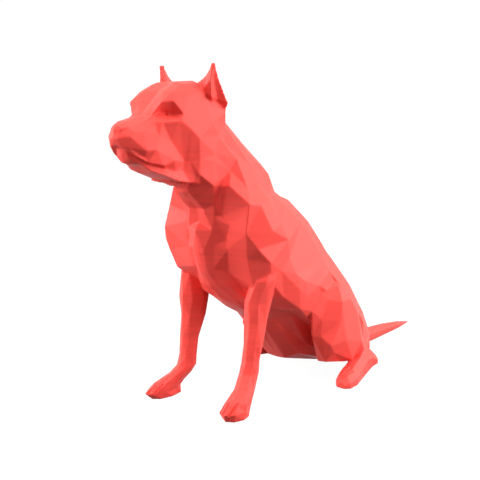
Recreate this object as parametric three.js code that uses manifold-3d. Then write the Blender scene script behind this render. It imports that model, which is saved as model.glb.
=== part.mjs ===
// A low-poly dog that sits upright and looks straight ahead, printed in eight sections.
// The sections are glued together on loose dowels, which sit blind inside the joints.
// Millimetres, +Z up. The dog faces -Y and its left side is +X.
// The landmarks are measured on a figure 170 mm tall, from the floor under its front toes.
import * as THREE from "three";
import { mergeVertices } from "three/addons/utils/BufferGeometryUtils.js";
import Module from "manifold-3d";

// Driving dimensions
const figureHeight = 170; // floor to ear tip
const dowelDiameter = 5; // neck, body and hips
const dowelDepth = 8; // how far a dowel goes into each section
const pinDiameter = 3; // elbows and tail
const pinDepth = 6;
const dowelClearance = 0.15; // all round, for glue
const dowelEndGap = 0.5; // left past each end of a dowel
const dowelChamfer = 0.6;
const dowelSides = 24;
const limbSides = 8; // forelegs and tail
const legTwist = 0.2; // radians between one foreleg outline and the next, for staggered facets
const smallestFacet = 1e-6; // square millimetres, below which two corners are one
const weldDistance = 1e-4; // corners this close are one

// Seam planes, on the surveyed figure
const seams = {
  neckZ: 108, // flat cut from the throat to the withers
  bodyY: 56, // upright cut across the back
  elbowX: 14, // each front leg lies outside this
  elbowY: 34, // in front of this
  elbowZ: 58, // and below this
  hipX: 20, // each hind leg lies outside this and behind the body's cut
  hipZ: 60, // and below this
  tailY: 152, // upright cut at the tail's root
};

// Trunk landmarks, left half, from the nose to the tail.
// Each row runs from the middle of the top, round the left side, to the middle underneath.
const noseMiddle = [
  [0, -45.6, 142.6], [0, -47, 141.8], [0, -47.8, 140.4], [0, -48, 138.6],
  [0, -48.2, 136.2], [0, -47.6, 134.8], [0, -46.6, 133.6], [0, -44.4, 133],
  [0, -43.6, 128.8], [0, -42.2, 126], [0, -40.4, 124.8],
];
const noseRow = [
  [0, -45.6, 142.6], [2, -46.2, 142], [3.2, -46.4, 140.6], [3.4, -46.6, 138.6],
  [2.4, -47.8, 136.2], [2.8, -47.2, 134.6], [3.6, -46, 132.6], [2.8, -43.8, 132],
  [3.8, -42.4, 127.6], [2.6, -41, 125.4], [0, -40.4, 124.8],
];
const muzzleFrontRow = [
  [0, -42.6, 143.8], [2.8, -42.8, 143.6], [5.6, -43, 141.4], [7, -43.1, 139.8],
  [7.2, -44.5, 137.3], [6.1, -44.5, 132.5], [7, -41.4, 128.8], [5.4, -39.6, 128.4],
  [6.6, -38.1, 125.3], [3, -36.4, 124.2], [0, -36.2, 124],
];
const muzzleBackRow = [
  [0, -37, 145.2], [3, -37, 145], [5.8, -36.2, 143.4], [8.6, -37.9, 138.9],
  [10.2, -37.5, 130.9], [8, -36.5, 127.8], [9.2, -36, 125.6], [7.4, -34, 125.2],
  [8.8, -34.2, 122], [3.4, -31, 120.4], [0, -30.6, 120.2],
];
const stopRow = [
  [0, -31.4, 146.2], [3, -31.6, 146.2], [6.8, -31.2, 146.2], [8.4, -31.1, 143.6],
  [10.2, -30.2, 137.2], [10.8, -32.1, 131.2], [11.4, -28.6, 124], [9.4, -26, 122.6],
  [10.8, -27.2, 119.5], [3.6, -22.6, 117.4], [0, -22.4, 117.2],
];
const browRow = [
  [0, -26.4, 151.4], [4.6, -28.4, 151.2], [10.6, -28.7, 152], [6.6, -26.3, 147.7],
  [10.4, -28.2, 143.3], [10.6, -23.3, 134.9], [12.2, -22.5, 126.2], [9.6, -19.4, 121],
  [10.6, -18.4, 116.4], [3.6, -14, 115.2], [0, -14, 115],
];
const eyeRow = [
  [0, -20.4, 157.4], [6.6, -23.6, 157], [11, -22, 156.8], [12, -23, 152.6],
  [8.6, -20.8, 146.8], [13.8, -20.4, 143.9], [9.8, -14.4, 125.3], [9.4, -14.7, 120.9],
  [10.4, -11.1, 115.3], [4, -8, 113.8], [0, -8, 113.6],
];
const templeRow = [
  [0, -13.4, 161], [6, -15.4, 161.2], [10.2, -15.4, 160.2], [13, -14, 154.6],
  [13.8, -18.4, 146.8], [14.6, -14.6, 140.3], [11.2, -11.9, 125.4], [11.4, -8, 117.9],
  [10.4, -7.8, 115.2], [4, -7, 112.8], [0, -7, 112.6],
];
const earRow = [
  [0, -4, 162], [5.4, -4, 162], [9.6, -5, 160.8], [13, -5, 156.4],
  [14.8, 0.1, 142.8], [15.2, -9.4, 135.7], [13.6, -7.5, 126.3], [12.8, -7.4, 119.1],
  [9.6, -3.6, 114], [4, -6.2, 110.4], [0, -6.4, 110],
];
const napeRow = [
  [0, 8, 159], [5, 9, 158.6], [11, 10.2, 151.8], [12.4, 11.2, 147.6],
  [12.2, 9.2, 142], [13.4, 5.4, 136.7], [13.6, 3.1, 127.9], [13.6, 1.2, 124.7],
  [13.6, 1.4, 113.2], [5, -2.4, 106.4], [0, -2, 106],
];
const neckRow = [
  [0, 18.3, 146.4], [4.4, 17.1, 144.7], [8, 15.3, 143.1], [12, 11.6, 140.1],
  [12.8, 9.9, 133], [15.4, 15.8, 125.3], [14.6, 12.2, 119.8], [13.8, 6.9, 112.8],
  [11, 4.3, 103.7], [5, 3.4, 101.4], [0, 4, 101.6],
];
const collarRow = [
  [0, 31, 134.8], [5.6, 30.8, 132.4], [11.6, 30.6, 126.2], [16, 28.4, 119.4],
  [19.6, 24.6, 113.6], [22, 16.2, 111.7], [19, 6.8, 113.1], [12, 8.9, 98.1],
  [9.4, 6, 97.6], [5, 3.7, 99.9], [0, 5.8, 94.6],
];
const shoulderRow = [
  [0, 45, 122.6], [7, 44.4, 121], [13.6, 42.4, 116.4], [19.2, 37.4, 107.4],
  [25, 28.4, 105.4], [28, 19, 103.7], [28.4, 10.2, 104.9], [16.2, 9.9, 93.5],
  [12, 11.7, 86], [8, 6, 91.2], [0, 2.4, 91],
];
const witherRow = [
  [0, 53.6, 107.6], [7, 53, 106], [14, 46.8, 107.2], [22, 47, 99.6],
  [31, 31.1, 93.7], [32, 23.3, 91.1], [25.6, 10.8, 90.4], [13, 11.7, 81.2],
  [7.4, 8, 83], [3.4, 4.8, 80], [0, 4.6, 79],
];
const ribRow = [
  [0, 66.6, 103], [8, 66, 101], [16, 65.6, 95.2], [24, 56, 91],
  [31, 37, 85], [28.8, 16, 82.7], [23.2, 14.4, 77.1], [10, 15.3, 69.3],
  [5.6, 9.4, 71], [2.6, 8, 70], [0, 8, 69.6],
];
const loinRow = [
  [0, 74.8, 95], [8.4, 73.8, 93.6], [17, 72.2, 89.4], [25, 62, 85],
  [30, 38.9, 75.7], [31, 23.1, 75.3], [24, 18.7, 62.7], [13.4, 20.9, 62],
  [10, 16, 61.6], [5, 14, 61.4], [0, 13.6, 60.6],
];
const bellyRow = [
  [0, 84.8, 84], [10, 83.8, 82], [19.4, 81.4, 77], [27.4, 70, 72],
  [32, 43, 66.6], [30, 32.8, 69.9], [28.6, 27, 64.5], [23, 27, 58],
  [15, 24, 55], [8, 22, 54.2], [0, 22, 52.6],
];
const waistRow = [
  [0, 89, 77.6], [10.6, 87.6, 76], [20.4, 84.6, 72], [28, 73, 68],
  [33, 50, 62], [32.6, 44.7, 58.6], [29, 36.2, 55.4], [18, 37, 49],
  [12, 34, 48], [6, 31.4, 46.6], [0, 30.6, 47],
];
const flankRow = [
  [0, 94, 72], [11, 92.4, 70.6], [21, 88.4, 68], [29, 76, 63],
  [31.6, 62.6, 57.9], [32.8, 50.5, 54.3], [31.4, 46.8, 47.9], [20, 52, 44],
  [13, 48, 39.6], [6, 44, 39.8], [0, 43, 40],
];
const hipRow = [
  [0, 110, 54.8], [13, 108, 54], [24, 103, 50.8], [31, 93.5, 45.6],
  [28, 95.7, 39.8], [24, 84.1, 37.7], [16, 82.3, 27], [13, 77.1, 19.5],
  [11, 72, 15], [6, 67.2, 12.3], [0, 67.6, 11.8],
];
const rumpRow = [
  [0, 131, 36.6], [13, 128, 36], [23, 119.4, 31.4], [32, 106.1, 29.1],
  [32.4, 105.1, 22.9], [27, 105, 17], [22, 102, 12], [17, 100, 9],
  [12, 98, 6.4], [6, 97, 4.6], [0, 96, 4],
];
const seatRow = [
  [0, 149, 14], [9, 143, 13.4], [17, 137, 14], [21, 131, 12],
  [23, 128, 8], [21, 130, 3.4], [17, 133, 0], [13, 131, 0],
  [9, 127, 0], [4, 121, 0], [0, 118, 0],
];
const seatMiddle = [
  [0, 149, 14], [0, 157, 7], [0, 157, 0], [0, 153, 0],
  [0, 148, 0], [0, 143, 0], [0, 138, 0], [0, 133, 0],
  [0, 128, 0], [0, 122, 0], [0, 118, 0],
];
const trunkRows = [
  noseMiddle, noseRow, muzzleFrontRow, muzzleBackRow, stopRow, browRow, eyeRow, templeRow, earRow,
  napeRow, neckRow, collarRow, shoulderRow, witherRow, ribRow, loinRow, bellyRow, waistRow, flankRow,
  hipRow, rumpRow, seatRow, seatMiddle,
];

// Ear landmarks, left ear: medial edge, front corner, front ridge, hollow, back edge, rear.
const earRootRing = [
  [7, -1.9, 156.8], [9, -1.4, 154.5], [12, 1.5, 151.3], [9.6, 8.2, 149.5],
  [11.4, 12.3, 147], [10, 10, 150],
];
const earBaseRing = [
  [7.6, -3.6, 160.6], [11.6, -4.1, 157.4], [15.6, -1.9, 154.4], [12.8, 4.8, 153.6],
  [15, 10.5, 151.4], [12, 6, 157],
];
const earMiddleRing = [
  [11.8, -2.3, 163.9], [13.8, -3, 163], [16.8, -3.8, 162.5], [15.8, -0.7, 162.1],
  [16.8, 2.4, 161.9], [15, 0.6, 164.4],
];
const earTopRing = [
  [15.8, -2.2, 168.8], [16, -2.8, 168.6], [17, -3, 168.4], [17.6, -2.4, 168.4],
  [17.8, -1.4, 168.6], [16.6, -1, 168.8],
];
const earRings = [earRootRing, earBaseRing, earMiddleRing, earTopRing];
const earTip = [16.8, -2, 170];

// The right side of the jaw, breast and ear isn't quite the left one's mirror image.
// Each left landmark is followed by the one that stands in for it on the right, before mirroring.
const rightSide = new Map([
  [muzzleFrontRow[8], [5.2, -37, 125.4]],
  [muzzleBackRow[8], [6.8, -32.4, 121.8]],
  [stopRow[8], [7.2, -24, 119]],
  [browRow[8], [7.4, -15.2, 116]],
  [collarRow[6], [18, 5.5, 110.5]],
  [shoulderRow[6], [27, 11.7, 100.7]],
  [shoulderRow[7], [13, 8.7, 92.9]],
  [shoulderRow[8], [10, 9.1, 86.6]],
  [witherRow[6], [28, 8.8, 89.5]],
  [witherRow[7], [11, 8.6, 80.9]],
  [witherRow[8], [6, 7.8, 81.6]],
  [ribRow[5], [31, 12.3, 82.5]],
  [ribRow[6], [27, 11.5, 76.7]],
  [ribRow[7], [8, 9, 71]],
  [loinRow[6], [26, 15.5, 67.5]],
  [earBaseRing[0], [10, -6.1, 160.5]],
  [earBaseRing[1], [9.8, -2.4, 157.2]],
  [earMiddleRing[0], [13.2, -3.8, 163.8]],
  [earMiddleRing[1], [13.4, -2.6, 163]],
]);

// Haunch landmarks, left haunch, as outlines at growing distances from the middle.
// Each runs: knee front, knee top, thigh front, hip, rump top, rump foot, underside, knee foot.
const haunchInner = [
  [15, 80, 26], [16, 74, 40], [17, 70, 48], [16, 92, 58],
  [15, 114, 42], [15, 122, 10], [16, 104, 8], [15, 84, 14],
];
const haunchMiddle = [
  [26, 64.7, 29.1], [28.4, 60.6, 44], [30, 66.3, 53.5], [24, 82, 58.4],
  [26.6, 109, 38.4], [30, 117, 8], [28, 99, 8], [22, 76, 11.8],
];
const haunchOuter = [
  [29.6, 67.9, 28.5], [30, 68, 38.5], [30.8, 71.2, 48.4], [32, 80, 56],
  [33, 96, 42], [33, 108, 10], [30, 91, 9.6], [28.6, 74, 13],
];
const haunchSide = [
  [34, 71.1, 23.7], [35.6, 77.8, 35.9], [35.6, 78.9, 46.7], [35.4, 87, 47],
  [35.4, 94, 38], [35, 100, 20], [33.8, 93, 10.6], [33, 75.6, 18.4],
];
const haunchRings = [haunchInner, haunchMiddle, haunchOuter, haunchSide];
const haunchCrest = [36.6, 82, 25];
const rightHaunchShift = [0, 6]; // the right haunch sits a little further back

// Foot outlines of the left hind foot, from the toes to the hock.
// Each is the distance behind the front toes, the middle's x, the half width, the height and the lift.
const hindFootStations = [
  [74.4, 38.6, 2.6, 3.2, 0.4], [77.4, 38, 4.8, 6.2, 0], [85, 36.2, 6.1, 8.6, 0], [97, 33.2, 5, 11, 0],
  [105, 32, 4.6, 16, 1.4], [110.4, 32, 4.2, 13.4, 3.2], [115, 34.2, 2.8, 8.6, 4.2],
];
const rightFootShift = [2, 14]; // the right hind foot stands further out and back

// Foreleg outlines, from the sole up. The right paw stands a little further forward.
// Each is the height, the middle's x and y, the half width and the half depth.
const leftForelegStations = [
  [0, 23.8, 5.6, 5.2, 7.6], [4, 23.6, 5, 6, 9.4], [8, 23.8, 7.6, 5.4, 8.2],
  [13, 22.8, 13.4, 4.8, 6.2], [19.4, 21.2, 18.4, 4.8, 5.2], [25.5, 21.2, 19.6, 4.6, 4.8],
  [33, 21.8, 20.8, 4.8, 5], [45, 21.2, 23.4, 5.6, 6.6],
  [55, 21.6, 25, 6.2, 7.8], [66, 24.4, 26, 5.8, 7.4], [77, 27, 32, 3.4, 5],
];
const rightForelegStations = [
  [0, 26.4, 7, 5, 10.4], [3.4, 27, 5, 5.6, 12.2], [7, 25.8, 8.4, 5.2, 10.8], [11, 23.2, 14.2, 4.8, 7.4],
  [15, 21.6, 17.4, 4.8, 5.6], [20.5, 21.6, 18.6, 4.6, 5], [29, 22, 20, 4.8, 5.2], [41, 22, 23.4, 6, 7.6],
  [51, 23, 25, 7, 9], [64, 24.4, 26, 6, 7.4], [76, 27, 32, 3.4, 5],
];

// Tail outlines, from inside the rump to the tip.
// Each is the distance behind the front toes, the middle's x and height, and the radius.
const tailStations = [
  [146, 0, 5.4, 5], [160, 0, 4.8, 4.8], [180, 0.4, 4.8, 3.8], [198, 1, 4.4, 2.4],
];
const tailTip = [1.6, 213, 4];

const scale = figureHeight / earTip[2]; // the survey's ear tip is its highest point
const reach = 3 * figureHeight; // past the figure in every direction

// Builders

// A closed geometry from triangles given as lists of points.
function solidFrom(triangles) {
  const numbers = [];
  for (const [a, b, c] of triangles) {
    const flat = new THREE.Triangle(
      new THREE.Vector3(...a).multiplyScalar(scale),
      new THREE.Vector3(...b).multiplyScalar(scale),
      new THREE.Vector3(...c).multiplyScalar(scale),
    );
    if (flat.getArea() < smallestFacet) continue;
    numbers.push(...flat.a.toArray(), ...flat.b.toArray(), ...flat.c.toArray());
  }
  const geometry = new THREE.BufferGeometry();
  geometry.setAttribute("position", new THREE.Float32BufferAttribute(numbers, 3));
  return geometry;
}

const distance = (p, q) => Math.hypot(p[0] - q[0], p[1] - q[1], p[2] - q[2]);

// The two triangles of a quad, split along its shorter diagonal.
function facets(a, b, c, d) {
  if (distance(a, c) <= distance(b, d)) return [[a, b, c], [a, c, d]];
  return [[a, b, d], [b, c, d]];
}

// Facets between two outlines with the same number of points.
function band(lower, upper, closed) {
  const made = [];
  const last = closed ? lower.length : lower.length - 1;
  for (let i = 0; i < last; i += 1) {
    const j = (i + 1) % lower.length;
    made.push(...facets(lower[i], lower[j], upper[j], upper[i]));
  }
  return made;
}

const flipped = (triangles) => triangles.map(([a, b, c]) => [a, c, b]);
const mirrorPoint = ([x, y, z]) => [-x, y, z];
const mirrored = (triangles) => flipped(triangles).map((t) => t.map(mirrorPoint));
const middleOf = (ring) => [0, 1, 2].map((k) => ring.reduce((sum, p) => sum + p[k], 0) / ring.length);

// Left landmarks, with those that differ on the right replaced
const onTheRight = (points) => points.map((p) => rightSide.get(p) ?? p);

// A skin over a stack of rings, closed by a fan at the first ring and a point past the last.
function loft(rings, endPoint) {
  const made = [];
  for (let i = 0; i + 1 < rings.length; i += 1) {
    made.push(...band(rings[i], rings[i + 1], true));
  }
  const first = rings[0];
  const last = rings[rings.length - 1];
  made.push(...first.map((p, i) => [p, middleOf(first), first[(i + 1) % first.length]]));
  made.push(...last.map((p, i) => [p, last[(i + 1) % last.length], endPoint]));
  return made;
}

function trunkTriangles() {
  const half = [];
  for (let i = 0; i + 1 < trunkRows.length; i += 1) {
    half.push(...band(trunkRows[i], trunkRows[i + 1], false));
  }
  return [...half, ...mirrored(half.map(onTheRight))];
}

// Corners of a regular outline of radius 1, its first corner at the given turn.
function limbOutline(turn) {
  return Array.from({ length: limbSides }, (_, i) => {
    const angle = turn + (i * 2 * Math.PI) / limbSides;
    return [Math.cos(angle), Math.sin(angle)];
  });
}

function forelegRings(stations) {
  return stations.map(([z, x, y, halfWidth, halfDepth], i) =>
    limbOutline((i % 2) * legTwist).map(([u, v]) => [x + halfWidth * u, y + halfDepth * v, z]),
  );
}

// Half a foot's outline, from the sole to the top, as shares of its half width and height
const footProfile = [[1, 0], [1, 0.5], [0.5, 1]];

function hindFootRings([shiftX, shiftY]) {
  return hindFootStations.map(([y, x, halfWidth, height, lift]) => {
    const inner = footProfile.map(([across, up]) => [-across, up]);
    return [...inner, ...footProfile.toReversed()].map(([across, up]) => [
      x + shiftX + across * halfWidth,
      y + shiftY,
      THREE.MathUtils.lerp(lift, height, up),
    ]);
  });
}

function tailRings() {
  return tailStations.map(([y, x, z, radius]) =>
    limbOutline(Math.PI / limbSides).map(([u, v]) => [x + radius * u, y, Math.max(0, z - radius * v)]),
  );
}

// Booleans
const wasm = await Module();
wasm.setup();
const { Manifold, Mesh } = wasm;

function toManifold(geometry) {
  const clean = geometry.clone();
  for (const name of Object.keys(clean.attributes)) {
    if (name !== "position") clean.deleteAttribute(name);
  }
  const merged = mergeVertices(clean, weldDistance);
  return new Manifold(
    new Mesh({
      numProp: 3,
      vertProperties: merged.attributes.position.array,
      triVerts: new Uint32Array(merged.index.array),
    }),
  );
}

function toGeometry(manifold) {
  const mesh = manifold.getMesh();
  const stride = mesh.numProp;
  const numbers = new Float32Array(mesh.numVert * 3);
  for (let i = 0; i < mesh.numVert; i += 1) {
    numbers.set(mesh.vertProperties.subarray(i * stride, i * stride + 3), i * 3);
  }
  const geometry = new THREE.BufferGeometry();
  geometry.setAttribute("position", new THREE.BufferAttribute(numbers, 3));
  geometry.setIndex(new THREE.BufferAttribute(new Uint32Array(mesh.triVerts), 1));
  return geometry;
}

// The whole figure in one skin
function figureSolid() {
  const haunch = ([shiftX, shiftY]) => {
    const move = ([x, y, z]) => [x + shiftX, y + shiftY, z];
    const rings = haunchRings.map((ring) => ring.map(move));
    return flipped(loft(rings, move(haunchCrest)));
  };
  const limb = (rings) => loft(rings, middleOf(rings[rings.length - 1]));
  const bodies = [
    trunkTriangles(),
    loft(tailRings(), tailTip),
    loft(earRings, earTip),
    mirrored(loft(earRings.map(onTheRight), earTip)),
    haunch([0, 0]),
    mirrored(haunch(rightHaunchShift)),
    limb(hindFootRings([0, 0])),
    mirrored(limb(hindFootRings(rightFootShift))),
    limb(forelegRings(leftForelegStations)),
    mirrored(limb(forelegRings(rightForelegStations))),
  ];
  return Manifold.union(bodies.map((triangles) => toManifold(solidFrom(triangles))));
}

// A box between two corners on the surveyed figure, where Infinity is past the figure's end.
function region(low, high) {
  const limit = (v) => THREE.MathUtils.clamp(v * scale, -reach, reach);
  const from = low.map(limit);
  const size = high.map((v, k) => limit(v) - from[k]);
  const geometry = new THREE.BoxGeometry(...size);
  geometry.translate(...from.map((v, k) => v + size[k] / 2));
  return toManifold(geometry);
}

const far = Infinity;
const mirroredRegion = ([lowX, lowY, lowZ], [highX, highY, highZ]) =>
  region([-highX, lowY, lowZ], [-lowX, highY, highZ]);

// The figure cut at its seams, each section under its name
function cutSections() {
  const { neckZ, bodyY, elbowX, elbowY, elbowZ, hipX, hipZ, tailY } = seams;
  const figure = figureSolid();
  const elbow = [[elbowX, -far, -far], [far, elbowY, elbowZ]];
  const hip = [[hipX, bodyY, -far], [far, tailY, hipZ]];
  const cuts = {
    head: region([-far, -far, neckZ], [far, far, far]),
    left_front_leg: region(...elbow),
    right_front_leg: mirroredRegion(...elbow),
    left_hind_leg: region(...hip),
    right_hind_leg: mirroredRegion(...hip),
    tail: region([-far, tailY, -far], [far, far, neckZ]),
  };
  const sections = Object.fromEntries(
    Object.entries(cuts).map(([name, cut]) => [name, figure.intersect(cut)]),
  );
  const body = Object.values(cuts).reduce((solid, cut) => solid.subtract(cut), figure);
  sections.chest = body.intersect(region([-far, -far, -far], [far, bodyY, neckZ]));
  sections.rump = body.intersect(region([-far, bodyY, -far], [far, tailY, neckZ]));
  return sections;
}

// Dowels: where each crosses its seam on the surveyed figure, the way it runs and what it joins
const neckDowelsY = { front: 12, rear: 38 };
const bodyDowels = { upperZ: 90, lowerX: 14, lowerZ: 62 };
const elbowDowels = { front: [22.5, 22.5], rear: [22.5, 28.5] }; // x and y
const hipDowels = { upper: [84, 44], lower: [92, 24] }; // y and z
const tailDowelZ = 4.8;

const dowel = { diameter: dowelDiameter, depth: dowelDepth };
const pin = { diameter: pinDiameter, depth: pinDepth };

function bothSides(name, size, [x, y, z], axis, section, limb) {
  return ["left", "right"].map((side, i) => ({
    name: `${side}_${name}`,
    size,
    at: [i ? -x : x, y, z],
    axis,
    joins: [section, `${side}_${limb}`],
  }));
}

function oneDowel(name, size, at, axis, sections) {
  return { name, size, at, axis, joins: sections };
}

const { neckZ, bodyY, elbowZ, hipX, tailY } = seams;
const { upperZ, lowerX, lowerZ } = bodyDowels;
const neck = ["head", "chest"];
const body = ["chest", "rump"];
const dowels = [
  oneDowel("neck_dowel_front", dowel, [0, neckDowelsY.front, neckZ], "z", neck),
  oneDowel("neck_dowel_rear", dowel, [0, neckDowelsY.rear, neckZ], "z", neck),
  oneDowel("body_dowel_upper", dowel, [0, bodyY, upperZ], "y", body),
  oneDowel("body_dowel_left", dowel, [lowerX, bodyY, lowerZ], "y", body),
  oneDowel("body_dowel_right", dowel, [-lowerX, bodyY, lowerZ], "y", body),
  ...bothSides("elbow_dowel_front", pin, [...elbowDowels.front, elbowZ], "z", "chest", "front_leg"),
  ...bothSides("elbow_dowel_rear", pin, [...elbowDowels.rear, elbowZ], "z", "chest", "front_leg"),
  ...bothSides("hip_dowel_upper", dowel, [hipX, ...hipDowels.upper], "x", "rump", "hind_leg"),
  ...bothSides("hip_dowel_lower", dowel, [hipX, ...hipDowels.lower], "x", "rump", "hind_leg"),
  oneDowel("tail_dowel", pin, [0, tailY, tailDowelZ], "y", ["rump", "tail"]),
];

// Turns a geometry that runs along Y to run along the given axis, and puts it in place.
function place(geometry, { at, axis }) {
  if (axis === "x") geometry.rotateZ(Math.PI / 2);
  if (axis === "z") geometry.rotateX(Math.PI / 2);
  return geometry.translate(...at.map((v) => v * scale));
}

function dowelGeometry(joint) {
  const { diameter, depth } = joint.size;
  const radius = diameter / 2;
  const profile = [
    [0, -depth],
    [radius - dowelChamfer, -depth],
    [radius, dowelChamfer - depth],
    [radius, depth - dowelChamfer],
    [radius - dowelChamfer, depth],
    [0, depth],
  ].map((p) => new THREE.Vector2(...p));
  return place(new THREE.LatheGeometry(profile, dowelSides), joint);
}

function dowelHole(joint) {
  const { diameter, depth } = joint.size;
  const radius = diameter / 2 + dowelClearance;
  const length = 2 * (depth + dowelEndGap);
  const geometry = new THREE.CylinderGeometry(radius, radius, length, dowelSides);
  return toManifold(place(geometry, joint));
}

// Assembly
const figureMaterial = new THREE.MeshStandardMaterial({ color: 0xf0584f, roughness: 0.5, metalness: 0 });
const dowelMaterial = new THREE.MeshStandardMaterial({ color: 0xd9493f, roughness: 0.6, metalness: 0 });

const sections = cutSections();
for (const joint of dowels) {
  const hole = dowelHole(joint);
  for (const name of joint.joins) {
    sections[name] = sections[name].subtract(hole);
  }
}

const group = new THREE.Group();
group.name = "low_poly_dog";

function addMesh(name, geometry, material) {
  const mesh = new THREE.Mesh(geometry, material.clone());
  mesh.name = name;
  group.add(mesh);
}

for (const [name, solid] of Object.entries(sections)) {
  addMesh(name, toGeometry(solid), figureMaterial);
}
for (const joint of dowels) {
  addMesh(joint.name, dowelGeometry(joint), dowelMaterial);
}

// The origin is under the middle of the figure's box, on the floor.
const bounds = new THREE.Box3().setFromObject(group);
const middle = bounds.getCenter(new THREE.Vector3());
group.position.set(-middle.x, -middle.y, -bounds.min.z);

export default group;
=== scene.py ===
import math

import bpy
from bpy.props import (
    FloatProperty,
    FloatVectorProperty,
    IntProperty,
    PointerProperty,
)
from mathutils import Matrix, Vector, noise


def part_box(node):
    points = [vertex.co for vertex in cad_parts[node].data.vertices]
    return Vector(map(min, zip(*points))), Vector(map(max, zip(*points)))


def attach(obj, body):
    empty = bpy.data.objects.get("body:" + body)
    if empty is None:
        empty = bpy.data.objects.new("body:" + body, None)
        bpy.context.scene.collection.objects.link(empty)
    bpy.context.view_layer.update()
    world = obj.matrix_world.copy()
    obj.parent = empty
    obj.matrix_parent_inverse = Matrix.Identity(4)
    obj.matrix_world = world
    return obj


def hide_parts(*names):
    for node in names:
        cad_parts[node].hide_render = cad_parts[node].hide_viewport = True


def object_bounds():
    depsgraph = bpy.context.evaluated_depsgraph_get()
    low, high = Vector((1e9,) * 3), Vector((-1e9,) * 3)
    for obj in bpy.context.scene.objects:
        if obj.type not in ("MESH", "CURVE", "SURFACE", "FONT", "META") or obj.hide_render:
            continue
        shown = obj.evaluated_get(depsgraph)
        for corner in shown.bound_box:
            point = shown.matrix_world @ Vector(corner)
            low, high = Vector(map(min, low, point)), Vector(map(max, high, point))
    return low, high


bl_info = {
    "name": "Printed Low-Poly Dog",
    "version": (1, 0, 0),
    "blender": (4, 5, 0),
    "location": "3D View > Sidebar > Printed Dog",
    "description": "Finishes the printed sections of a low-poly dog and sets up its studio",
    "category": "Object",
}

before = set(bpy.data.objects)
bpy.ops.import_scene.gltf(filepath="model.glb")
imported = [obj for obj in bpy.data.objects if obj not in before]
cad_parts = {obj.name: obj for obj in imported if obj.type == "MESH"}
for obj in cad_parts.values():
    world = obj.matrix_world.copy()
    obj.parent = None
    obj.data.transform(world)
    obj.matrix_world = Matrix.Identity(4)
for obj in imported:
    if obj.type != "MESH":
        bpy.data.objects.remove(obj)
bpy.context.view_layer.update()
cad_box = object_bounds()

MM = 0.001
BODY = "root"
SKIN = "printed_skin"

# The sides of each section's box that are seams, as axis and end (0 low, 1 high), in cutting order
SEAMS = {
    "head": [(2, 0)],
    "left_front_leg": [(0, 0), (1, 1), (2, 1)],
    "right_front_leg": [(0, 1), (1, 1), (2, 1)],
    "left_hind_leg": [(0, 0), (1, 0), (2, 1)],
    "right_hind_leg": [(0, 1), (1, 0), (2, 1)],
    "tail": [(1, 0)],
    "chest": [(1, 1)],
}
LAST_SECTION = "rump"
SECTIONS = [*SEAMS, LAST_SECTION]
DOWELS = [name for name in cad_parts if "dowel" in name]

# Where the floor under the middle of the front toes lies in the frame. Details are placed from there,
# in millimetres.
TOES = Vector((1, -82.4, 0))

# What the printer left standing on the skin: beads of plastic, each with its radius, and strings
EAR_BLOB = ((16.8, -2, 168.9), 1)
LEG_NUB = ((16.9, 20.3, 30), 0.8)
STRINGS = (
    ((-16.8, -2.6, 166.6), (-17.7, -2.4, 169.6)),
    ((-16.2, -2.2, 166.6), (-15.6, -2, 169.6)),
)

# The slit that splits the tip of the right ear, between two corners
EAR_SLIT = ((-16.9, -6, 166), (-16.2, 2, 168.6))

# The support marks under the jaw, as thin ribs from side to side, each a pitch behind the one before
SCAR_COUNT = 7
SCAR_START = -20  # the first rib's Y
SCAR_PITCH = 1.9
SCAR_THICKNESS = 0.7
SCAR_ROOT = 2  # how far a rib reaches up into the jaw
SCAR_RIGHT, SCAR_LEFT = -6, 7  # the ends of a rib
SCAR_WANDER_RIGHT, SCAR_WANDER_LEFT = 3, 4  # how far each end may stray
SCAR_NOISE_STEP = 1.7  # in the noise that the ends stray by, from one rib to the next

# The underside of the jaw, as its height at one Y and its slope from there towards the neck
JAW_Y = -22
JAW_HEIGHT = 117.2
JAW_SLOPE = -0.27

# The round hollow at the bottom of each eye socket
EYES = ((8.4, -23.7, 147.2), (-8.4, -23.7, 147.2))
EYE_RADIUS = 1.3

# The three grooves of a paw, of which the outer two lie further back
GROOVE_HALF_LENGTH = 6
GROOVE_SETBACK = 1.2
GROOVE_FAN = 0.14  # how far the outer two draw away from the middle one for each length up the paw

# Each paw's grooves, as a place between the middle toes, the slope there in degrees, the toes' spacing
# and how far the three grooves lie below that place, from -X to +X
PAWS = (
    ((23.7, -2.5, 5.6), 46, 3, (0.3, 0, 0.8)),
    ((-26.4, -4.8, 4.8), 37, 3, (0.9, 0, 0.5)),
    ((37.2, 81, 7.5), 18, 2.4, (0, 0.1, 0)),
    ((-39.2, 95, 7.5), 18, 2.4, (0, 0.1, 0)),
)

# Corners of neighbouring sections this close are one
WELD_DISTANCE = 0.01 * MM

# A face lies on a seam if it is this close to the seam's plane and this nearly square to its axis
SEAM_DISTANCE = 0.05 * MM
SEAM_COSINE = 0.97

# The darkest and lightest shade of the plastic's colour, and how strongly each pattern changes it
SHADES = (0.87, 1.12)
STREAK_TONE = 1.1
CLOUD_TONE = 0.6

# How strongly the streaks and clouds change the plastic's roughness
STREAK_ROUGHNESS = 0.2
CLOUD_ROUGHNESS = 0.1

# Each lamp's turn round the dog from the camera in degrees, its distance from the dog and its height over
# the dog's middle in metres, and the setting that holds its power
LAMPS = {
    "lamp_right": (90, 0.9, 0.1, "side_power"),
    "lamp_left": (-90, 0.9, 0.1, "side_power"),
    "lamp_top": (0, 0.25, 1, "top_power"),
}
LAMP_SIZE = 0.8
FLOOR_RADIUS = 20
SENSOR_WIDTH = 36


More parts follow.
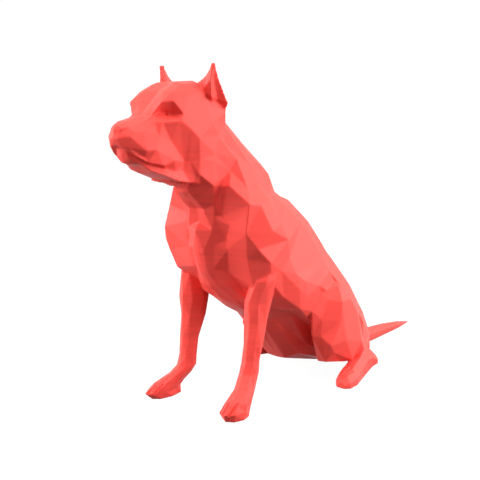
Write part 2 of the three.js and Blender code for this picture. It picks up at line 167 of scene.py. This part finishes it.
class PrintSettings(bpy.types.PropertyGroup):
    """Sizes that the printer leaves in the plastic"""

    grain: FloatProperty(
        name="Grain",
        description="Finest detail of the printed skin",
        default=0.4 * MM,
        min=0.3 * MM,
        max=2 * MM,
        unit="LENGTH",
    )
    edge_passes: IntProperty(
        name="Edge passes",
        description="How often the facet edges are softened",
        default=2,
        min=0,
        max=10,
    )
    detail_kept: FloatProperty(
        name="Detail kept",
        description="Share of the faces left after the flat facets are thinned",
        default=0.35,
        min=0.1,
        max=1,
        subtype="FACTOR",
    )
    layer_height: FloatProperty(
        name="Layer height",
        description="Height of one printed layer",
        default=0.2 * MM,
        min=0.05 * MM,
        max=0.6 * MM,
        unit="LENGTH",
    )
    string_width: FloatProperty(
        name="String width",
        description="Thickness of the strings at the right ear's tip",
        default=0.9 * MM,
        min=0.6 * MM,
        max=3 * MM,
        unit="LENGTH",
    )
    scar_depth: FloatProperty(
        name="Scar depth",
        description="How far the support marks under the jaw stand out",
        default=0.8 * MM,
        min=0,
        max=3 * MM,
        unit="LENGTH",
    )
    toe_groove: FloatProperty(
        name="Toe groove",
        description="Width of the grooves between the toes",
        default=1.4 * MM,
        min=0.4 * MM,
        max=3 * MM,
        unit="LENGTH",
    )
    dowel_clearance: FloatProperty(
        name="Dowel clearance",
        description="Glue gap round each dowel",
        default=0.15 * MM,
        min=0,
        max=1 * MM,
        unit="LENGTH",
    )
    dowel_end_gap: FloatProperty(
        name="Dowel end gap",
        description="Room left past each end of a dowel",
        default=0.5 * MM,
        min=0,
        max=2 * MM,
        unit="LENGTH",
    )


class FinishSettings(bpy.types.PropertyGroup):
    """Colours and gloss of the plastic"""

    coral: FloatVectorProperty(
        name="Coral",
        description="Colour of the printed sections",
        default=(0.93, 0.075, 0.06),
        min=0,
        max=1,
        subtype="COLOR",
    )
    dowel_colour: FloatVectorProperty(
        name="Dowel colour",
        description="Colour of the loose dowels",
        default=(0.69, 0.067, 0.05),
        min=0,
        max=1,
        subtype="COLOR",
    )
    roughness: FloatProperty(
        name="Roughness",
        description="Roughness of the printed skin",
        default=0.52,
        min=0.05,
        max=1,
        subtype="FACTOR",
    )


class StudioSettings(bpy.types.PropertyGroup):
    """Floor, light and camera"""

    floor_colour: FloatVectorProperty(
        name="Floor colour",
        description="Colour that the floor gives back to the dog",
        default=(0.08, 0.08, 0.08),
        min=0,
        max=1,
        subtype="COLOR",
    )
    paper_glow: FloatProperty(
        name="Paper glow",
        description="How bright the floor shows to the camera before any light falls on it",
        default=0.96,
        min=0,
        max=1,
        subtype="FACTOR",
    )
    surround: FloatProperty(
        name="Surround",
        description="Brightness of the soft light from all round",
        default=0.8,
        min=0,
        max=3,
    )
    side_power: FloatProperty(
        name="Side lamps",
        description="Power of each side lamp",
        default=15,
        min=0,
        max=100,
        unit="POWER",
    )
    top_power: FloatProperty(
        name="Top lamp",
        description="Power of the lamp overhead",
        default=10,
        min=0,
        max=100,
        unit="POWER",
    )
    camera_place: FloatVectorProperty(
        name="Camera place",
        description="Where the camera stands",
        default=(0.277, -0.364, 0.1485),
        subtype="TRANSLATION",
        unit="LENGTH",
    )
    camera_pitch: FloatProperty(
        name="Camera pitch",
        description="How far the camera looks down",
        default=math.radians(9),
        subtype="ANGLE",
    )
    camera_turn: FloatProperty(
        name="Camera turn",
        description="How far the camera is turned from the dog's face to its left",
        default=math.radians(41),
        subtype="ANGLE",
    )
    lens: FloatProperty(
        name="Lens",
        description="Focal length in millimetres, on a sensor 36 mm wide",
        default=61.5,
        min=10,
        max=300,
    )


class Value:
    """A shader socket that can be used in a Python expression."""

    def __init__(self, recipe, socket):
        self.recipe = recipe
        self.socket = socket

    def math(self, operation, *values):
        return self.recipe.node("ShaderNodeMath", {"operation": operation}, dict(enumerate(values)))

    def __add__(self, other):
        return self.math("ADD", self, other)

    def __sub__(self, other):
        return self.math("SUBTRACT", self, other)

    def __mul__(self, other):
        return self.math("MULTIPLY", self, other)

    def __truediv__(self, other):
        return self.math("DIVIDE", self, other)

    def __radd__(self, other):
        return self.math("ADD", other, self)

    def __rsub__(self, other):
        return self.math("SUBTRACT", other, self)

    def __rmul__(self, other):
        return self.math("MULTIPLY", other, self)


class Recipe:
    """The nodes of one material or world."""

    def __init__(self, owner):
        owner.use_nodes = True
        self.tree = owner.node_tree
        self.tree.nodes.clear()

    def node(self, kind, settings=None, sockets=None, output=0):
        made = self.tree.nodes.new(kind)
        for name, value in (settings or {}).items():
            setattr(made, name, value)
        for key, value in (sockets or {}).items():
            if isinstance(value, Value):
                self.tree.links.new(value.socket, made.inputs[key])
            else:
                made.inputs[key].default_value = value
        return Value(self, made.outputs[output]) if made.outputs else None

    def noise(self, vector, scale, detail):
        sockets = {"Vector": vector, "Scale": scale, "Detail": detail}
        return self.node("ShaderNodeTexNoise", {}, sockets)

    def seen(self):
        """1 for what the camera sees straight, in a gloss or through glass."""
        rays = [
            self.node("ShaderNodeLightPath", output=f"Is {kind} Ray")
            for kind in ("Camera", "Glossy", "Transmission")
        ]
        return rays[0].math("MAXIMUM", rays[0], rays[0].math("MAXIMUM", *rays[1:]))

    def mix_colour(self, factor, first, second):
        sockets = {0: factor, 6: (*first, 1), 7: (*second, 1)}
        return self.node("ShaderNodeMix", {"data_type": "RGBA"}, sockets, output=2)


def deselect():
    bpy.ops.object.select_all(action="DESELECT")


def activate(obj):
    deselect()
    obj.select_set(True)
    bpy.context.view_layer.objects.active = obj


def apply_modifier(obj, kind, **settings):
    activate(obj)
    modifier = obj.modifiers.new(kind.title(), kind)
    for name, value in settings.items():
        setattr(modifier, name, value)
    bpy.ops.object.modifier_apply(modifier=modifier.name)


def duplicate(obj, name):
    activate(obj)
    bpy.ops.object.duplicate()
    made = bpy.context.active_object
    made.name = name
    made.data.name = name
    return made


def join(objects, name):
    deselect()
    for obj in objects:
        obj.select_set(True)
    bpy.context.view_layer.objects.active = objects[0]
    bpy.ops.object.join()
    objects[0].name = name
    objects[0].data.name = name
    return objects[0]


def remove(obj):
    activate(obj)
    bpy.ops.object.delete()


def settle(obj):
    """Puts an object's place, turn and size into its mesh."""
    activate(obj)
    bpy.ops.object.transform_apply(location=True, rotation=True, scale=True)


def add_block(low, high, name):
    """A cutting block between two corners."""
    deselect()
    bpy.ops.mesh.primitive_cube_add(size=1, location=(low + high) / 2)
    block = bpy.context.active_object
    block.name = name
    block.scale = high - low
    settle(block)
    return block


def add_rod(start, end, radius, name):
    """A round rod between two places."""
    along = end - start
    deselect()
    bpy.ops.mesh.primitive_cylinder_add(
        vertices=24,
        radius=radius,
        depth=along.length,
        location=(start + end) / 2,
        rotation=along.to_track_quat("Z", "Y").to_euler(),
    )
    rod = bpy.context.active_object
    rod.name = name
    settle(rod)
    return rod


def add_bead(place, radius, name):
    """A round bead."""
    deselect()
    bpy.ops.mesh.primitive_ico_sphere_add(subdivisions=3, radius=radius, location=place)
    bead = bpy.context.active_object
    bead.name = name
    settle(bead)
    return bead


def from_toes(x, y, z):
    """A place in the frame, from millimetres measured at the front toes."""
    return (TOES + Vector((x, y, z))) * MM


def cut_away(piece, cutters):
    """Takes the cutters out of a piece and deletes them."""
    cutter = join(cutters, "cutter")
    apply_modifier(piece, "BOOLEAN", operation="DIFFERENCE", solver="MANIFOLD", object=cutter)
    remove(cutter)


def seam_block(section):
    """A block that ends at a section's seams and passes the figure on its other sides."""
    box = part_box(section)
    reach = (cad_box[1] - cad_box[0]).length
    corners = [Vector([-reach] * 3), Vector([reach] * 3)]
    for axis, end in SEAMS[section]:
        corners[end][axis] = box[end][axis]
    return add_block(*corners, "cutter_" + section)


def flat_seams(piece, planes):
    """Gives a section's seam faces their own flat shading."""
    piece.data.polygons.foreach_set("select", [False] * len(piece.data.polygons))
    for face in piece.data.polygons:
        face.select = any(
            abs(face.normal[axis]) > SEAM_COSINE and abs(face.center[axis] - place) < SEAM_DISTANCE
            for axis, place in planes
        )
    activate(piece)
    bpy.ops.object.shade_smooth()
    bpy.ops.object.mode_set(mode="EDIT")
    bpy.ops.mesh.select_mode(type="FACE")
    bpy.ops.mesh.faces_shade_flat()
    bpy.ops.object.mode_set(mode="OBJECT")
    apply_modifier(piece, "WEIGHTED_NORMAL", mode="FACE_AREA", keep_sharp=True)


def printed_plastic(name, colour):
    """Satin plastic laid down in thin layers, with streaks along them."""
    look = bpy.context.scene.dog_finish
    layer_height = bpy.context.scene.dog_print.layer_height
    material = bpy.data.materials.new(name)
    recipe = Recipe(material)
    place = recipe.node("ShaderNodeTexCoord", output="Object")
    x, y, z = (recipe.node("ShaderNodeSeparateXYZ", {}, {0: place}, output=i) for i in range(3))
    layer = z / layer_height

    def streaks(along, across):
        """Noise drawn out along the layers, with the given changes per metre and per layer."""
        drawn_out = recipe.node(
            "ShaderNodeCombineXYZ", {}, {0: x * along, 1: y * along, 2: layer * across}
        )
        return recipe.noise(drawn_out, scale=1.0, detail=2.0)

    fine = streaks(along=60.0, across=0.7)
    broad = streaks(along=25.0, across=0.13)
    cloud = recipe.noise(place, scale=80.0, detail=3.0)
    grain = recipe.noise(place, scale=2500.0, detail=2.0)
    ridge = layer.math("SINE", layer * math.tau)
    darkest, lightest = ([min(1, channel * shade) for channel in colour] for shade in SHADES)
    tone = 0.5 + (broad - 0.5) * STREAK_TONE + (cloud - 0.5) * CLOUD_TONE
    roughness = look.roughness + (broad - 0.5) * STREAK_ROUGHNESS + (cloud - 0.5) * CLOUD_ROUGHNESS
    height = ridge * 0.25 + fine * 0.8 + broad * 1.2 + grain * 0.4
    relief = {"Height": height, "Strength": 0.6, "Distance": 0.03 * MM}
    shader = recipe.node(
        "ShaderNodeBsdfPrincipled",
        {},
        {
            "Base Color": recipe.mix_colour(tone, darkest, lightest),
            "Roughness": roughness,
            "Normal": recipe.node("ShaderNodeBump", {}, relief),
            "IOR": 1.46,
            "Specular IOR Level": 0.18,
            "Subsurface Weight": 0.2,
            "Subsurface Radius": (1.0, 0.25, 0.15),
            "Subsurface Scale": 1.5 * MM,
        },
    )
    recipe.node("ShaderNodeOutputMaterial", {}, {"Surface": shader})
    return material


class DOG_OT_skin(bpy.types.Operator):
    """Joins the sections' outsides with what the printer left on them, and softens the facet edges"""

    bl_idname = "dog.skin"
    bl_label = "Printed skin"

    def execute(self, context):
        sizes = context.scene.dog_print
        shells = [duplicate(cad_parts[name], "shell_" + name) for name in SECTIONS]
        skin = join([*shells, *self.strings(sizes), *self.beads(), *self.scars(sizes)], SKIN)
        skin.parent = None
        activate(skin)
        bpy.ops.object.mode_set(mode="EDIT")
        bpy.ops.mesh.select_all(action="SELECT")
        bpy.ops.mesh.remove_doubles(threshold=WELD_DISTANCE)
        bpy.ops.object.mode_set(mode="OBJECT")
        apply_modifier(skin, "REMESH", mode="VOXEL", voxel_size=sizes.grain)
        apply_modifier(skin, "SMOOTH", factor=0.5, iterations=sizes.edge_passes)
        apply_modifier(skin, "DECIMATE", ratio=sizes.detail_kept)
        return {"FINISHED"}

    def strings(self, sizes):
        ends = [(from_toes(*start), from_toes(*end)) for start, end in STRINGS]
        return [add_rod(start, end, sizes.string_width / 2, "string") for start, end in ends]

    def beads(self):
        return [
            add_bead(from_toes(*place), radius * MM, name)
            for name, (place, radius) in {"ear_blob": EAR_BLOB, "leg_nub": LEG_NUB}.items()
        ]

    def scars(self, sizes):
        """Thin ribs across the underside of the jaw, where the support was pulled off."""
        ribs = []
        for i in range(SCAR_COUNT):
            y = SCAR_START + SCAR_PITCH * i
            jaw = JAW_HEIGHT + JAW_SLOPE * (y - JAW_Y)
            wander = noise.noise(Vector((i * SCAR_NOISE_STEP, 0.5, 0)))
            right = SCAR_RIGHT + SCAR_WANDER_RIGHT * wander
            left = SCAR_LEFT + SCAR_WANDER_LEFT * wander
            low = from_toes(right, y, jaw) - Vector((0, 0, sizes.scar_depth))
            high = from_toes(left, y + SCAR_THICKNESS, jaw + SCAR_ROOT)
            ribs.append(add_block(low, high, "scar"))
        return ribs


class DOG_OT_hollows(bpy.types.Operator):
    """Cuts the grooves between the toes, the eyes and the slit in the right ear's tip"""

    bl_idname = "dog.hollows"
    bl_label = "Toes, eyes and ear slit"

    def execute(self, context):
        cutters = self.grooves(context.scene.dog_print.toe_groove)
        cutters += [add_bead(from_toes(*eye), EYE_RADIUS * MM, "eye") for eye in EYES]
        cutters.append(add_block(*(from_toes(*corner) for corner in EAR_SLIT), "slit"))
        cut_away(bpy.data.objects[SKIN], cutters)
        return {"FINISHED"}

    def grooves(self, width):
        """Rods that lie half in the top of each paw, one in the middle and one on either side."""
        rods = []
        for place, slope, spacing, drops in PAWS:
            up = math.radians(slope)
            for side, drop in zip((-1, 0, 1), drops):
                offset = Vector((side * spacing, abs(side) * GROOVE_SETBACK, -drop))
                middle = from_toes(*place) + offset * MM
                direction = Vector((side * GROOVE_FAN, math.cos(up), math.sin(up)))
                along = direction * GROOVE_HALF_LENGTH * MM
                rods.append(add_rod(middle - along, middle + along, width / 2, "groove"))
        return rods


class DOG_OT_sockets(bpy.types.Operator):
    """Bores the blind sockets that the loose dowels sit in"""

    bl_idname = "dog.sockets"
    bl_label = "Dowel sockets"

    def execute(self, context):
        sizes = context.scene.dog_print
        cutters = []
        for name in DOWELS:
            low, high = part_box(name)
            size = high - low
            half = Vector((0, 0, 0))
            longest = max(range(3), key=lambda axis: size[axis])
            half[longest] = size[longest] / 2 + sizes.dowel_end_gap
            middle = (low + high) / 2
            radius = min(size) / 2 + sizes.dowel_clearance
            cutters.append(add_rod(middle - half, middle + half, radius, "socket"))
        cut_away(bpy.data.objects[SKIN], cutters)
        return {"FINISHED"}


class DOG_OT_sections(bpy.types.Operator):
    """Cuts the skin at its seams and gives each section its plastic"""

    bl_idname = "dog.sections"
    bl_label = "Sections"

    def execute(self, context):
        rest = bpy.data.objects[SKIN]
        material = printed_plastic("coral_plastic", context.scene.dog_finish.coral)
        planes = [
            (axis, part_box(name)[end][axis]) for name, seams in SEAMS.items() for axis, end in seams
        ]
        for name in SEAMS:
            cutter = seam_block(name)
            piece = duplicate(rest, "printed_" + name)
            apply_modifier(piece, "BOOLEAN", operation="INTERSECT", solver="MANIFOLD", object=cutter)
            apply_modifier(rest, "BOOLEAN", operation="DIFFERENCE", solver="MANIFOLD", object=cutter)
            remove(cutter)
        rest.name = rest.data.name = "printed_" + LAST_SECTION
        for name in SECTIONS:
            piece = bpy.data.objects["printed_" + name]
            flat_seams(piece, planes)
            piece.data.materials.clear()
            piece.data.materials.append(material)
            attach(piece, BODY)
            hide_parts(name)
        return {"FINISHED"}


class DOG_OT_dowels(bpy.types.Operator):
    """Gives the loose dowels their plastic"""

    bl_idname = "dog.dowels"
    bl_label = "Dowels"

    def execute(self, context):
        material = printed_plastic("dowel_plastic", context.scene.dog_finish.dowel_colour)
        for name in DOWELS:
            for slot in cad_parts[name].material_slots:
                slot.material = material
        return {"FINISHED"}


class DOG_OT_studio(bpy.types.Operator):
    """Lays a pale floor, hangs soft lamps and sets up the camera"""

    bl_idname = "dog.studio"
    bl_label = "Studio"

    def execute(self, context):
        studio = context.scene.dog_studio
        self.floor(studio)
        self.surround(studio)
        self.lamps(studio)
        self.camera(context, studio)
        context.scene.view_settings.view_transform = "Standard"
        return {"FINISHED"}

    def floor(self, studio):
        deselect()
        bpy.ops.mesh.primitive_circle_add(vertices=96, radius=FLOOR_RADIUS, fill_type="NGON")
        floor = bpy.context.active_object
        floor.name = "studio_floor"
        material = bpy.data.materials.new("floor_paper")
        recipe = Recipe(material)
        shown = recipe.seen()
        paper = recipe.node("ShaderNodeBsdfDiffuse", {}, {"Color": (*studio.floor_colour, 1)})
        white = {"Color": (1, 1, 1, 1), "Strength": studio.paper_glow}
        glow = recipe.node("ShaderNodeEmission", {}, white)
        lifted = recipe.node("ShaderNodeAddShader", {}, {0: paper, 1: glow})
        shader = recipe.node("ShaderNodeMixShader", {}, {0: shown, 1: paper, 2: lifted})
        recipe.node("ShaderNodeOutputMaterial", {}, {"Surface": shader})
        floor.data.materials.append(material)

    def surround(self, studio):
        world = bpy.data.worlds.new("soft_surround")
        bpy.context.scene.world = world
        recipe = Recipe(world)
        shown = recipe.seen()
        backdrop = studio.paper_glow + studio.floor_colour[0] * studio.surround
        strength = studio.surround + shown * (backdrop - studio.surround)
        light = recipe.node("ShaderNodeBackground", {}, {"Color": (1, 1, 1, 1), "Strength": strength})
        recipe.node("ShaderNodeOutputWorld", {}, {"Surface": light})

    def lamps(self, studio):
        target = (cad_box[0] + cad_box[1]) / 2
        for name, (turn, distance, height, power) in LAMPS.items():
            angle = studio.camera_turn - math.pi / 2 + math.radians(turn)
            offset = Vector((distance * math.cos(angle), distance * math.sin(angle), height))
            deselect()
            bpy.ops.object.light_add(type="AREA", location=target + offset)
            lamp = bpy.context.active_object
            lamp.name = name
            lamp.data.energy = getattr(studio, power)
            lamp.data.size = LAMP_SIZE
            lamp.rotation_euler = (target - lamp.location).to_track_quat("-Z", "Y").to_euler()

    def camera(self, context, studio):
        deselect()
        bpy.ops.object.camera_add(
            location=studio.camera_place,
            rotation=(math.pi / 2 - studio.camera_pitch, 0, studio.camera_turn),
        )
        camera = context.active_object
        camera.data.sensor_width = SENSOR_WIDTH
        camera.data.lens = studio.lens
        context.scene.camera = camera


class DOG_PT_panel(bpy.types.Panel):
    """Lists the steps and settings of the printed dog"""

    bl_label = "Printed Dog"
    bl_idname = "DOG_PT_panel"
    bl_space_type = "VIEW_3D"
    bl_region_type = "UI"
    bl_category = "Printed Dog"

    def draw(self, context):
        layout = self.layout
        for group in (context.scene.dog_print, context.scene.dog_finish, context.scene.dog_studio):
            box = layout.box()
            for name in type(group).__annotations__:
                box.prop(group, name)
        for step in STEPS:
            layout.operator(step.bl_idname)


STEPS = [DOG_OT_skin, DOG_OT_hollows, DOG_OT_sockets, DOG_OT_sections, DOG_OT_dowels, DOG_OT_studio]
CLASSES = [PrintSettings, FinishSettings, StudioSettings, *STEPS, DOG_PT_panel]


def register():
    for made in CLASSES:
        bpy.utils.register_class(made)
    bpy.types.Scene.dog_print = PointerProperty(type=PrintSettings)
    bpy.types.Scene.dog_finish = PointerProperty(type=FinishSettings)
    bpy.types.Scene.dog_studio = PointerProperty(type=StudioSettings)


def unregister():
    del bpy.types.Scene.dog_studio
    del bpy.types.Scene.dog_finish
    del bpy.types.Scene.dog_print
    for made in reversed(CLASSES):
        bpy.utils.unregister_class(made)


def main():
    register()
    bpy.ops.dog.skin()
    bpy.ops.dog.hollows()
    bpy.ops.dog.sockets()
    bpy.ops.dog.sections()
    bpy.ops.dog.dowels()
    bpy.ops.dog.studio()
    bpy.context.view_layer.update()


if __name__ == "__main__":
    main()
